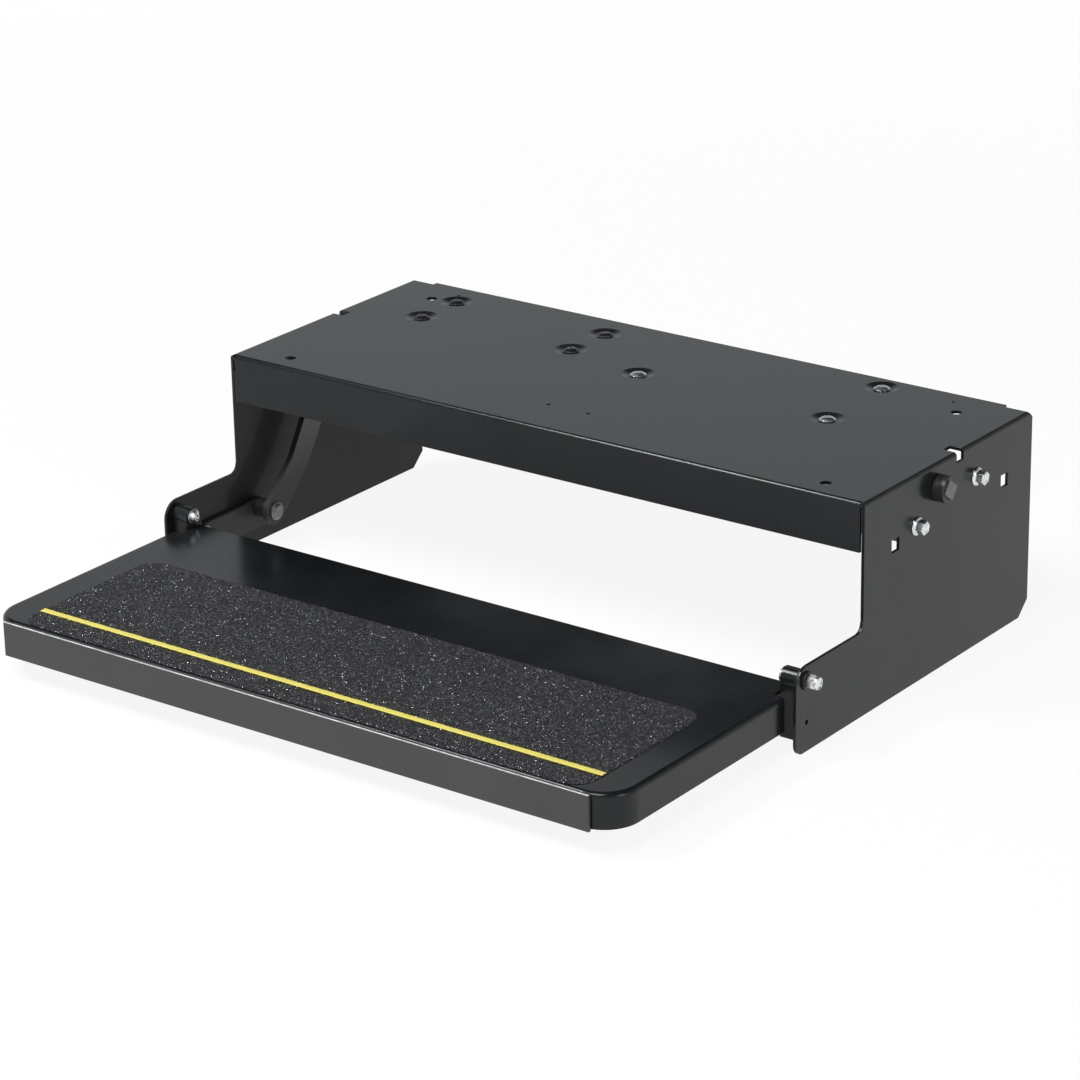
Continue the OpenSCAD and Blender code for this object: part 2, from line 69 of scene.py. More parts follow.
# Studio: brightness of the horizon band and of the ceiling, and the heights between them
BAND, CEILING = 0.62, 0.03
CEILING_LOW, CEILING_HIGH = 0.44, 0.56
AIR = (0.92, 0.97, 1.0)
WHITE_STRENGTH = 1.0                         # of what the camera and reflections see as white
FLOOR_HALF, FLOOR_GREY, FLOOR_LIFT = 6.0, 0.86, 0.90
LIFT_SPAN = 0.5, 2.2                         # distances between which the floor turns white
# name, place, aim, size, power in watts
LIGHTS = (("key", (0.2, -1.7, 2.6), (0, -0.15, -0.1), (1.5, 1.1), 58),
          ("strip_left", (-1.38, -1.21, 2.23), (0.29, -0.112, 0.0), (0.42, 1.2), 52),
          ("fill_right", (3.0, -0.6, 1.0), (0.2, -0.1, -0.1), (1.6, 1.2), 20))

# Camera: the photograph's view, from the front and right, a little above
CAM_AIM = Vector((-0.0296, -0.0627, -0.1167))
CAM_DISTANCE = 3.112
CAM_AZIMUTH = 36.89
CAM_ELEVATION = 21.48
CAM_ROLL = -1.05
CAM_LENS = 132.1

# Places, from the frame's joints and boxes
JOINT_AT = {j["name"]: j["pos_m"] for j in frame["record"]["behaviour"]["joints"]}
HINGE_Y, HINGE_Z = JOINT_AT["tread_fold"][1:]
BRACKET_LOW, BRACKET_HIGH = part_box("hinge_bracket_r")
SLEEVE_IN, SLEEVE_OUT = BRACKET_LOW[0], BRACKET_HIGH[0]
BRACKET_FRONT = BRACKET_LOW[1]
BEAD_Y, BEAD_Z = BRACKET_FRONT + 1.2 * MM, HINGE_Z - 5.2 * MM
TREAD_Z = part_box("tread_pan")[1][2]
ARM_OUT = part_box("housing")[1][0]
WASHER_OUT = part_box("hinge_washer")[1][0]
RIGHT_BOLT, LEFT_BOLT = 28.6 * MM, 18.7 * MM  # the left hinge bolt ends flush with its arm

# Places that no box of the frame gives
FLANGE_FRONT, FLANGE_END = -0.112, 0.2963
SCREW_START = 0.2876                         # inner end of the bearing bolts' shanks
PLATE_MIDDLE = 0.2988                        # between a side plate's two faces
CORNER_X = 0.29665                           # the welded corners of the housing
SEAT_Z = -0.0016                             # floor of the screws' dimples
FLOOR_Z = cad_box[0][2] - 0.0005
MAT_CORNER = 0.018

# Looks
GRAIN = 1450.0                               # grit grains per metre
PEEL, PEEL_STRENGTH = 0.00004, 0.55          # orange peel of the paint
FLANGE_LEAN = 0.12                           # radians, of the shading alone
SHADE_BELOW_Z = -0.040                        # painted shade on the side plates' inner faces below this height
LINK_TOP_Z, LINK_LOW_Z = -0.060, -0.120      # the linkage's painted shade deepens between these heights


# Node helpers
class Mat:
    """A node material with short calls for the nodes used here."""

    def __init__(self, name):
        self.m = bpy.data.materials.new(name)
        self.m.use_nodes = True
        self.t = self.m.node_tree
        self.t.nodes.clear()
        self.out = self.t.nodes.new("ShaderNodeOutputMaterial")
        self.p = self.t.nodes.new("ShaderNodeBsdfPrincipled")
        self.t.links.new(self.p.outputs[0], self.out.inputs["Surface"])
        self.co = self.t.nodes.new("ShaderNodeTexCoord").outputs["Object"]

    def link(self, a, b):
        self.t.links.new(a, b)
        return b

    def set(self, **values):
        for k, v in values.items():
            self.p.inputs[k.replace("_", " ")].default_value = v

    def noise(self, scale, detail=2.0, rough=0.5, co=None):
        n = self.t.nodes.new("ShaderNodeTexNoise")
        n.inputs["Scale"].default_value = scale
        n.inputs["Detail"].default_value = detail
        n.inputs["Roughness"].default_value = rough
        self.link(co or self.co, n.inputs["Vector"])
        return n.outputs["Fac"]

    def voronoi(self, scale, output="Distance"):
        n = self.t.nodes.new("ShaderNodeTexVoronoi")
        n.inputs["Scale"].default_value = scale
        self.link(self.co, n.inputs["Vector"])
        return n.outputs[output]

    def stretch(self, x, y, z):
        n = self.t.nodes.new("ShaderNodeMapping")
        n.inputs["Scale"].default_value = (x, y, z)
        self.link(self.co, n.inputs["Vector"])
        return n.outputs[0]

    def ramp(self, fac, stops):
        n = self.t.nodes.new("ShaderNodeValToRGB")
        els = n.color_ramp.elements
        while len(els) < len(stops):
            els.new(0.5)
        for el, (pos, col) in zip(els, stops):
            el.position = pos
            el.color = (*col, 1.0)
        self.link(fac, n.inputs[0])
        return n.outputs[0]

    def span(self, fac, lo, hi, from_lo=0.0, from_hi=1.0):
        n = self.t.nodes.new("ShaderNodeMapRange")
        for k, v in zip(("From Min", "From Max", "To Min", "To Max"), (from_lo, from_hi, lo, hi)):
            n.inputs[k].default_value = v
        self.link(fac, n.inputs["Value"])
        return n.outputs[0]

    def math(self, op, a, b=None):
        n = self.t.nodes.new("ShaderNodeMath")
        n.operation = op
        for i, v in enumerate((a, b)):
            if v is None:
                continue
            if isinstance(v, (int, float)):
                n.inputs[i].default_value = v
            else:
                self.link(v, n.inputs[i])
        return n.outputs[0]

    def mix(self, fac, a, b):
        n = self.t.nodes.new("ShaderNodeMix")
        n.data_type = "RGBA"
        for key, v in ((0, fac), (6, a), (7, b)):
            if isinstance(v, (int, float)):
                n.inputs[key].default_value = v
            elif isinstance(v, tuple):
                n.inputs[key].default_value = (*v, 1.0)
            else:
                self.link(v, n.inputs[key])
        return n.outputs[2]

    def bump(self, height, distance, strength=1.0, edge=0.0):
        n = self.t.nodes.new("ShaderNodeBump")
        n.inputs["Distance"].default_value = distance
        n.inputs["Strength"].default_value = strength
        self.link(height, n.inputs["Height"])
        if edge:
            b = self.t.nodes.new("ShaderNodeBevel")
            b.samples = 4
            b.inputs["Radius"].default_value = edge
            self.link(b.outputs[0], n.inputs["Normal"])
        self.link(n.outputs[0], self.p.inputs["Normal"])

    def axis(self, which):
        n = self.t.nodes.new("ShaderNodeSeparateXYZ")
        self.link(self.co, n.inputs[0])
        return n.outputs["XYZ".index(which)]


def convex_edge(m, radius):
    """1 on convex edges, 0 on flat faces, from the difference of bevelled and true normals."""
    b = m.t.nodes.new("ShaderNodeBevel")
    b.samples = 4
    b.inputs["Radius"].default_value = radius
    g = m.t.nodes.new("ShaderNodeNewGeometry")
    d = m.t.nodes.new("ShaderNodeVectorMath")
    d.operation = "DOT_PRODUCT"
    m.link(b.outputs[0], d.inputs[0])
    m.link(g.outputs["Normal"], d.inputs[1])
    return m.span(d.outputs["Value"], 1.0, 0.0, 0.80, 0.985)


def powder_coat(name, base, rough, peel=1.0, gloss=0.24, inside=False, low_end=False):
    """Gloss powder coat: orange peel, faint clouding of the gloss, edges a little thinner.

    Both options only bring the shading near the photograph's, and neither is known of the real
    paint. inside paints shade on the side plates' inner faces, darker and rougher low down, and
    leans the front flange's reflections; low_end paints shade on the linkage towards its low end.
    """
    m = Mat(name)
    cloud = m.noise(9.0, 4.0, 0.6)
    fine = m.noise(520.0, 3.0, 0.55)
    dust = m.noise(140.0, 6.0, 0.7)
    lighter = tuple(min(1.0, c * 1.25 + 0.004) for c in base)
    colour = m.mix(m.span(cloud, 0.0, 1.0, 0.35, 0.7), base, lighter)
    edge = convex_edge(m, 0.9 * MM)
    colour = m.mix(m.math("MULTIPLY", edge, 0.35), colour, tuple(c * 2.2 + 0.01 for c in base))
    specks = m.span(dust, 0.0, 1.0, 0.70, 0.76)
    colour = m.mix(m.math("MULTIPLY", specks, 0.18), colour, (0.16, 0.165, 0.17))
    r = m.math("ADD", m.span(cloud, rough - 0.03, rough + 0.05, 0.3, 0.7),
               m.math("MULTIPLY", specks, 0.25))
    if inside:
        # the side plates' inner faces look darker in the photograph
        reach = m.math("LESS_THAN", m.math("ABSOLUTE", m.axis("X")), PLATE_MIDDLE)
        low = m.math("LESS_THAN", m.axis("Z"), SHADE_BELOW_Z)
        # painted shade: the inner faces get a darker base colour low down, and more roughness
        inner_shade = m.math("MULTIPLY", reach, low)
        colour = m.mix(inner_shade, colour, tuple(c * 0.5 for c in base))
        r = m.math("ADD", r, m.math("MULTIPLY", inner_shade, 0.30))
    if low_end:
        # the flat bar looks darker towards its low end in the photograph
        # painted shade: the linkage turns darker and rougher towards its low end
        low = m.span(m.axis("Z"), 0.0, 1.0, LINK_TOP_Z, LINK_LOW_Z)
        colour = m.mix(low, colour, (0.004, 0.004, 0.0042))
        r = m.math("ADD", r, m.math("MULTIPLY", low, 0.40))
    m.link(colour, m.p.inputs["Base Color"])
    m.link(r, m.p.inputs["Roughness"])
    m.set(IOR=1.5, Specular_IOR_Level=gloss, Coat_Weight=0.12, Coat_Roughness=0.12)
    height = m.math("ADD", m.math("MULTIPLY", fine, 1.0),
                    m.math("MULTIPLY", m.noise(140.0, 1.0), 2.0))
    if inside:
        # shading only: the solid's flange is square, and its normals are leaned here so that
        # it reflects about what the photograph's does
        front = m.math("MULTIPLY", m.math("LESS_THAN", m.axis("Y"), FLANGE_FRONT + 0.0004),
                       m.math("LESS_THAN", m.math("ABSOLUTE", m.axis("X")), FLANGE_END))
        lean = m.math("MULTIPLY", m.axis("Z"), -FLANGE_LEAN / (PEEL * PEEL_STRENGTH))
        height = m.math("ADD", height, m.math("MULTIPLY", front, lean))
    m.bump(height, PEEL * peel, PEEL_STRENGTH, edge=0.8 * MM)
    return m.m


def plated(name, base, rough):
    """Zinc plate or bare steel: metallic, finely streaked, dulled in random blotches."""
    m = Mat(name)
    streaks = m.noise(1.0, 3.0, 0.6, co=m.stretch(30.0, 900.0, 900.0))
    blotch = m.noise(160.0, 3.0, 0.6)
    dark = tuple(c * 0.72 for c in base)
    m.link(m.mix(m.span(blotch, 0.0, 1.0, 0.35, 0.7), dark, base), m.p.inputs["Base Color"])
    m.link(m.math("ADD", m.span(streaks, rough - 0.08, rough + 0.10, 0.3, 0.7),
                  m.span(blotch, 0.0, 0.08, 0.4, 0.7)), m.p.inputs["Roughness"])
    m.set(Metallic=1.0)
    m.bump(m.math("ADD", streaks, blotch), 0.00003, 0.6, edge=0.35 * MM)
    return m.m


def moulded(name, base, rough):
    """Moulded nylon or rubber: fine grain and a slight bloom."""
    m = Mat(name)
    bloom = m.noise(60.0, 5.0, 0.6)
    fine = m.noise(900.0, 2.0)
    pale = tuple(c * 1.8 + 0.01 for c in base)
    m.link(m.mix(m.span(bloom, 0.0, 0.6, 0.4, 0.75), base, pale), m.p.inputs["Base Color"])
    m.link(m.span(bloom, rough - 0.06, rough + 0.12, 0.3, 0.7), m.p.inputs["Roughness"])
    m.bump(fine, 0.00006, 0.6, edge=0.4 * MM)
    return m.m


def screw_wear_and_glint(name, base, bare, rough):
    """Black coated screw with bare metal on the edges where the driver has rubbed, made pale to
    paint the recess's glints.
    """
    m = Mat(name)
    patchy = m.span(m.noise(700.0, 3.0, 0.6), 0.0, 1.0, 0.38, 0.52)
    # painted glints: pale, partly metallic bare metal on the recess edges, as wear
    wear_and_glint = m.math("MULTIPLY", m.span(convex_edge(m, 0.30 * MM), 0.0, 1.0, 0.25, 0.6), patchy)
    m.link(m.mix(wear_and_glint, base, bare), m.p.inputs["Base Color"])
    m.link(m.span(wear_and_glint, rough, 0.28), m.p.inputs["Roughness"])
    m.link(m.math("MULTIPLY", wear_and_glint, 0.5), m.p.inputs["Metallic"])
    m.bump(m.noise(900.0, 2.0), 0.00004, 0.6, edge=0.2 * MM)
    return m.m


def cast(name, base):
    """Die casting: sandy skin, satin metal."""
    m = Mat(name)
    sand = m.noise(700.0, 4.0, 0.7)
    m.link(m.mix(m.noise(40.0, 3.0), tuple(c * 0.7 for c in base), base), m.p.inputs["Base Color"])
    m.set(Metallic=0.9, Roughness=0.48)
    m.bump(sand, 0.0001, 0.7, edge=0.8 * MM)
    return m.m


def grit(name):
    """Coarse mineral grit in a dark binder: each grain has its own grey, and a few glint."""
    m = Mat(name)
    cell = m.voronoi(GRAIN, "Color")
    sep = m.t.nodes.new("ShaderNodeSeparateColor")
    m.link(cell, sep.inputs[0])
    tone, pick = sep.outputs[0], sep.outputs[1]
    grains = m.ramp(tone, [(0.0, (0.004, 0.004, 0.0045)), (0.45, (0.009, 0.009, 0.0102)),
                           (0.8, (0.022, 0.0215, 0.0245)), (1.0, (0.11, 0.11, 0.12))])
    cloud = m.noise(45.0, 4.0, 0.65)
    grains = m.mix(m.span(cloud, 0.0, 0.35, 0.4, 0.7), grains, (0.020, 0.0196, 0.0222))
    glint = m.span(pick, 0.0, 1.0, 0.952, 0.962)
    m.link(m.mix(glint, grains, (0.55, 0.56, 0.58)), m.p.inputs["Base Color"])
    m.link(m.span(glint, 0.66, 0.22), m.p.inputs["Roughness"])
    m.link(m.math("MULTIPLY", glint, 0.8), m.p.inputs["Metallic"])
    height = m.math("ADD", m.math("MULTIPLY", m.voronoi(GRAIN, "Distance"), -1.0),
                    m.math("MULTIPLY", m.noise(2.0 * GRAIN, 2.0), 0.4))
    m.set(Specular_IOR_Level=0.28)
    m.bump(height, 0.0004, 1.0)
    return m.m


def yellow(name):
    """Yellow line over the grit: slightly broken by the grain under it."""
    m = Mat(name)
    rub = m.noise(420.0, 5.0, 0.7)
    base = m.mix(m.span(m.noise(60.0, 3.0), 0.0, 0.5, 0.35, 0.7), (0.72, 0.64, 0.11),
                 (0.65, 0.57, 0.085))
    m.link(m.mix(m.span(rub, 0.0, 0.8, 0.66, 0.74), base, (0.20, 0.18, 0.07)),
           m.p.inputs["Base Color"])
    m.set(Roughness=0.5)
    m.bump(m.math("ADD", rub, m.voronoi(GRAIN)), 0.00015, 0.7)
    return m.m


def fascia_paint(name, base):
    """Satin strip with a painted highlight along its upper front edge."""
    m = Mat(name)
    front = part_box("tread_fascia")[0][1]
    # painted highlight: a pale, broken line along the upper front edge
    at_top = m.span(m.axis("Z"), 0.0, 1.0, TREAD_Z - 0.0007, TREAD_Z - 0.0003)
    at_front = m.span(m.axis("Y"), 1.0, 0.0, front + 0.0006, front + 0.0009)
    edge_highlight = m.math("MULTIPLY", m.math("MULTIPLY", at_top, at_front),
                    m.span(m.noise(90.0, 4.0, 0.6), 0.5, 1.0, 0.3, 0.6))
    cloud = m.noise(12.0, 4.0)
    colour = m.mix(m.span(cloud, 0.0, 1.0, 0.35, 0.7), base, tuple(c * 1.3 for c in base))
    m.link(m.mix(edge_highlight, colour, (0.75, 0.76, 0.78)), m.p.inputs["Base Color"])
    m.link(m.span(cloud, 0.33, 0.45, 0.3, 0.7), m.p.inputs["Roughness"])
    m.set(Coat_Weight=0.15, Coat_Roughness=0.2)
    m.bump(m.noise(600.0, 3.0), 0.00004, 0.5, edge=0.4 * MM)
    return m.m


PAINT = powder_coat("black_powder_coat", (0.0062, 0.0070, 0.0080), 0.22)
HOUSING_PAINT = powder_coat("black_powder_coat_housing", (0.0062, 0.0070, 0.0080), 0.22,
                            inside=True)
# painted shade: a darker and rougher copy of the black powder coat, for the hinge brackets, which
# stand in shade
PAINT_SHADED_DULL = powder_coat("black_powder_coat_painted_shade", (0.004, 0.0042, 0.0046), 0.34, gloss=0.2)
# painted shade: the linkage's coat is darker towards its low end
LINK_PAINT = powder_coat("black_paint_linkage", (0.017, 0.0172, 0.018), 0.28, 1.4, 0.55,
                         low_end=True)
FASCIA = fascia_paint("fascia_satin", (0.026, 0.0255, 0.027))
ZINC = plated("zinc_plate", (0.88, 0.89, 0.90), 0.26)
DARK_STEEL = plated("dark_steel", (0.20, 0.20, 0.205), 0.40)
BLACK_SCREW = screw_wear_and_glint("black_screw_coating", (0.008, 0.008, 0.009), (0.85, 0.86, 0.88), 0.30)
CAST = cast("die_cast", (0.50, 0.51, 0.52))
MOTOR = powder_coat("motor_enamel", (0.035, 0.036, 0.04), 0.38)
NYLON = moulded("black_nylon", (0.012, 0.012, 0.0125), 0.42)
RUBBER = moulded("buffer_rubber", (0.012, 0.012, 0.012), 0.62)
GRIT = grit("grip_grit")
YELLOW = yellow("yellow_line")
WELD = powder_coat("painted_weld", (0.018, 0.019, 0.021), 0.26, 3.0)

LOOKS = {
    "black_paint": PAINT, "fascia_paint": FASCIA, "zinc": ZINC, "dark_steel": DARK_STEEL,
    "black_screws": BLACK_SCREW, "die_cast": CAST, "motor_steel": MOTOR,
    "black_plastic": NYLON, "buffer_rubber": RUBBER, "grip": GRIT, "yellow_line": YELLOW,
}
OWN_LOOK = {"housing": HOUSING_PAINT, "crank": LINK_PAINT, "flat_bar": LINK_PAINT,
            "hinge_bracket_l": PAINT_SHADED_DULL, "hinge_bracket_r": PAINT_SHADED_DULL}


def dress_frame():
    slot_of = {s["node"]: s["material_slot"] for s in frame["record"]["subparts"]}
    for name, obj in nodes.items():
        look = OWN_LOOK.get(name, LOOKS[slot_of[name]])
        if not obj.material_slots:
            obj.data.materials.append(look)
        for s in obj.material_slots:
            s.material = look


# Mesh helpers
def add(name, bm, material, body, smooth=40.0):
    me = bpy.data.meshes.new(name)
    bm.normal_update()
    bm.to_mesh(me)
    bm.free()
    obj = bpy.data.objects.new(name, me)
    bpy.context.scene.collection.objects.link(obj)
    me.materials.append(material)
    me.shade_smooth()
    me.set_sharp_from_angle(angle=math.radians(smooth))
    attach(obj, body)
    return obj


def lathe(bm, profile, place, steps=40, flats=None):
    """Turns (radius, height) points about +Z, moved by place; flats makes that ring a polygon."""
    rings = []
    for r, h in profile:
        ring = []
        for i in range(steps):
            a = 2 * math.pi * i / steps
            k = 1.0
            if flats:
                half = math.pi / flats
                k = math.cos(half) / math.cos((a + half) % (2 * half) - half)
            ring.append(bm.verts.new(place @ Vector((r * k * math.cos(a), r * k * math.sin(a), h))))
        rings.append(ring)
    for a, b in zip(rings, rings[1:]):
        for i in range(steps):
            j = (i + 1) % steps
            bm.faces.new((a[i], a[j], b[j], b[i]))
    bm.faces.new(list(reversed(rings[0])))
    bm.faces.new(rings[-1])


def facing(point, direction, turn=0.0):
    """Matrix that puts +Z along direction at point, turned about it."""
    q = Vector((0, 0, 1)).rotation_difference(Vector(direction))
    return Matrix.Translation(point) @ q.to_matrix().to_4x4() @ Matrix.Rotation(turn, 4, "Z")


def dome(r, h, base, n=7):
    """Profile of a shallow dome of radius r and height h that starts at height base."""
    big = (r * r + h * h) / (2 * h)
    pts = []
    for i in range(n):
        x = r * math.cos(math.pi / 2 * i / n)
        pts.append((x, base + math.sqrt(big * big - x * x) - (big - h)))
    return pts


def hex_recess(bm, place, flat_r, top, depth):
    """Six-sided socket seen as a dark well: a wall ring and a floor set into the head."""
    lathe(bm, [(flat_r * 1.16, top), (flat_r * 1.1, top + 0.00005), (flat_r * 0.98, top - depth),
               (flat_r * 0.2, top - depth * 1.1)], place, 36, flats=6)


def flange_bolt(bm, point, direction, turn):
    """Hex head with a washer flange and a dished top, 10 mm across flats."""
    place = facing(point, direction, turn)
    lathe(bm, [(7.0 * MM, 0.0), (7.3 * MM, 0.5 * MM), (7.1 * MM, 1.1 * MM), (6.3 * MM, 1.9 * MM),
               (5.3 * MM, 2.3 * MM)], place, 48)
    lathe(bm, [(5.75 * MM, 1.2 * MM), (5.77 * MM, 7.3 * MM), (5.5 * MM, 7.9 * MM),
               (4.9 * MM, 8.3 * MM), (4.2 * MM, 8.4 * MM), (3.5 * MM, 7.9 * MM),
               (1.0 * MM, 7.7 * MM)], place, 48, flats=6)


def lock_nut(bm, point, direction, turn):
    """Hex nut with a rounded collar around the bolt's end."""
    place = facing(point, direction, turn)
    lathe(bm, [(5.2 * MM, 0.0), (5.75 * MM, 0.5 * MM), (5.77 * MM, 5.9 * MM),
               (5.3 * MM, 6.5 * MM), (4.7 * MM, 6.7 * MM)], place, 48, flats=6)
    lathe(bm, [(4.9 * MM, 6.1 * MM), (4.9 * MM, 7.9 * MM), (4.5 * MM, 8.5 * MM),
               (4.05 * MM, 8.55 * MM), (4.0 * MM, 8.0 * MM), (3.6 * MM, 7.8 * MM),
               (3.3 * MM, 8.1 * MM)], place, 40)


def cross_recess(bm, place, r, top, depth, slot):
    """Four pads on a sunk floor: what is left between them is a cross recess."""
    lathe(bm, [(r * 1.05, top - depth), (r * 0.3, top - depth * 1.15)], place, 24)
    g = slot / 2
    reach = math.sqrt(r * r - g * g)
    a0 = math.atan2(g, reach)
    for q in range(4):
        turned = place @ Matrix.Rotation(q * math.pi / 2, 4, "Z")
        plan = [(g, g)] + [(r * math.cos(a), r * math.sin(a)) for a in
                           (a0 + (math.pi / 2 - 2 * a0) * i / 6 for i in range(7))]
        low = [bm.verts.new(turned @ Vector((x, y, top - depth))) for x, y in plan]
        high = [bm.verts.new(turned @ Vector((x * 0.97 + 0.03 * g, y * 0.97 + 0.03 * g, top)))
                for x, y in plan]
        bm.faces.new(high)
        bm.faces.new(list(reversed(low)))
        for i in range(len(plan)):
            j = (i + 1) % len(plan)
            bm.faces.new((low[i], low[j], high[j], high[i]))


def screw_head(bm, point, direction, r, h, recess, turn=0.0, cross=False):
    """Low domed head whose middle is sunk into a socket or a cross recess."""
    place = facing(point, direction, turn)
    profile = [(r * 0.97, 0.0), (r, 0.25 * h)]
    profile += [p for p in dome(r, h * 0.75, 0.25 * h) if p[0] > recess * 1.12]
    top = profile[-1][1]
    if cross:
        lathe(bm, profile + [(recess * 1.22, top), (recess * 1.2, top - 1.1 * MM)], place, 40)
        cross_recess(bm, place, recess * 1.2, top, 1.0 * MM, 1.1 * MM)
        return
    lathe(bm, profile + [(recess * 1.08, top + 0.02 * h)], place, 40)
    hex_recess(bm, place, recess * 0.93, top + 0.03 * h, 0.0009)


def bead(bm, points, r, rng, step=1.6 * MM):
    """Weld bead along a line: overlapping lumps of slightly uneven size."""
    for a, b in zip(points, points[1:]):
        a, b = Vector(a), Vector(b)
        n = max(1, int((b - a).length / step))
        for i in range(n):
            c = a.lerp(b, (i + rng.uniform(-0.15, 0.15)) / n)
            k = r * rng.uniform(0.86, 1.12)
            bmesh.ops.create_icosphere(bm, subdivisions=2, radius=k, matrix=Matrix.Translation(c))


def circle_points(cy, cz, r, x, a0, a1, n=14):
    angles = (a0 + (a1 - a0) * i / n for i in range(n + 1))
    return [(x, cy + r * math.cos(a), cz + r * math.sin(a)) for a in angles]


# Fasteners
def solid_boxes(name):
    """Lowest and highest corner of each separate solid in a node."""
    me = nodes[name].data
    bm = bmesh.new()
    bm.from_mesh(me)
    bmesh.ops.remove_doubles(bm, verts=bm.verts, dist=1e-6)
    seen, out = set(), []
    for v in bm.verts:
        if v.index in seen:
            continue
        stack, group = [v], []
        seen.add(v.index)
        while stack:
            u = stack.pop()
            group.append(u.co.copy())
            for e in u.link_edges:
                w = e.other_vert(u)
                if w.index not in seen:
                    seen.add(w.index)
                    stack.append(w)
        pts = np.array([tuple(c) for c in group])
        out.append((pts.min(0), pts.max(0)))
    bm.free()
    return out


def fasteners(rng):
    bm = bmesh.new()
    for lo, hi in solid_boxes("bearing_bolts"):
        side = 1 if hi[0] > 0 else -1
        y, z = (lo[1] + hi[1]) / 2, (lo[2] + hi[2]) / 2
        flange_bolt(bm, Vector((side * ARM_OUT, y, z)), (side, 0, 0), rng.uniform(0, 1))
        shank = facing(Vector((side * SCREW_START, y, z)), (side, 0, 0))
        lathe(bm, [(2.5 * MM, 0.0), (2.95 * MM, 0.4 * MM), (2.95 * MM, 12.7 * MM)], shank, 28)
    add("flange_bolts", bm, ZINC, "housing_body")
    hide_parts("bearing_bolts")

    bm = bmesh.new()
    lock_nut(bm, Vector((WASHER_OUT, HINGE_Y, HINGE_Z)), (1, 0, 0), rng.uniform(0, 1))
    add("hinge_lock_nut", bm, ZINC, "housing_body")
    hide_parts("hinge_nut")

    bm = bmesh.new()
    for side in (1, -1):
        head = Vector((side * (SLEEVE_IN - 0.0004), HINGE_Y, HINGE_Z))
        screw_head(bm, head, (-side, 0, 0), 6.6 * MM, 4.2 * MM, 2.5 * MM, rng.uniform(0, 1))
        end = RIGHT_BOLT if side > 0 else LEFT_BOLT
        lathe(bm, [(3.98 * MM, 0.0), (3.98 * MM, end - 0.4 * MM), (3.4 * MM, end)],
              facing(head, (side, 0, 0)), 36)
    add("hinge_bolt_set", bm, ZINC, "housing_body")
    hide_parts("hinge_bolts")

    for node, name, look, slot in (("bracket_screws", "silver_pan_screws", ZINC, "zinc"),
                                   ("control_screws", "black_pan_screws", BLACK_SCREW,
                                    "black_screws")):
        bm = bmesh.new()
        for lo, hi in solid_boxes(node):
            p = Vector(((lo[0] + hi[0]) / 2, (lo[1] + hi[1]) / 2, SEAT_Z))
            screw_head(bm, p, (0, 0, 1), 6.5 * MM, 3.0 * MM, 2.1 * MM, rng.uniform(0, 1),
                       cross=node == "control_screws")
            lathe(bm, [(2.45 * MM, 0.0), (2.45 * MM, SEAT_Z - lo[2] - 0.0004),
                       (1.8 * MM, SEAT_Z - lo[2])],
                  facing(p, (0, 0, -1)), 28)
        add(name, bm, look, "housing_body")
        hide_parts(node)


def welds(rng):
    """Beads where sleeve, leaf and web meet, and in the housing's front corners."""
    bm = bmesh.new()
    for side in (1, -1):
        x0, x1 = side * SLEEVE_IN, side * SLEEVE_OUT
        bead(bm, [(x0, BEAD_Y, BEAD_Z), (x1 - side * MM, BEAD_Y, BEAD_Z)], 0.9 * MM, rng)
        bead(bm, circle_points(HINGE_Y, HINGE_Z, 0.0076, x0 + side * 0.0025,
                               math.radians(-60), math.radians(-130)), 0.8 * MM, rng)
    add("bracket_welds", bm, WELD, "tread_body", 70)

    bm = bmesh.new()
    for side in (1, -1):
        x = side * CORNER_X
        bead(bm, [(x, -0.1105, -0.0062), (x, -0.1102, -0.0145)], 0.95 * MM, rng, 1.1 * MM)
        bead(bm, [(x - side * 0.0006, -0.1108, -0.0032), (x, -0.1092, -0.0016)], 0.9 * MM, rng,
             0.9 * MM)
    add("corner_weld_beads", bm, WELD, "housing_body", 70)
    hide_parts("corner_welds")


# Grip mat
def rounded_mask(x, y, lo, hi, r):
    """Signed distance inside a rounded rectangle, positive inside."""
    cx, cy = (lo[0] + hi[0]) / 2, (lo[1] + hi[1]) / 2
    qx = np.abs(x - cx) - ((hi[0] - lo[0]) / 2 - r)
    qy = np.abs(y - cy) - ((hi[1] - lo[1]) / 2 - r)
    outside = np.hypot(np.maximum(qx, 0), np.maximum(qy, 0))
    return r - outside - np.minimum(np.maximum(qx, qy), 0)


def smooth_noise(rng, shape, cell):
    """Value noise on a grid, cell samples wide."""
    h, w = shape
    coarse = rng.random((h // cell + 3, w // cell + 3))
    ys, xs = np.arange(h) / cell, np.arange(w) / cell
    yi, xi = ys.astype(int), xs.astype(int)
    fy, fx = (ys - yi)[:, None], (xs - xi)[None, :]
    fy, fx = fy * fy * (3 - 2 * fy), fx * fx * (3 - 2 * fx)
    a, b = coarse[yi][:, xi], coarse[yi][:, xi + 1]
    c, d = coarse[yi + 1][:, xi], coarse[yi + 1][:, xi + 1]
    return (a * (1 - fx) + b * fx) * (1 - fy) + (c * (1 - fx) + d * fx) * fy


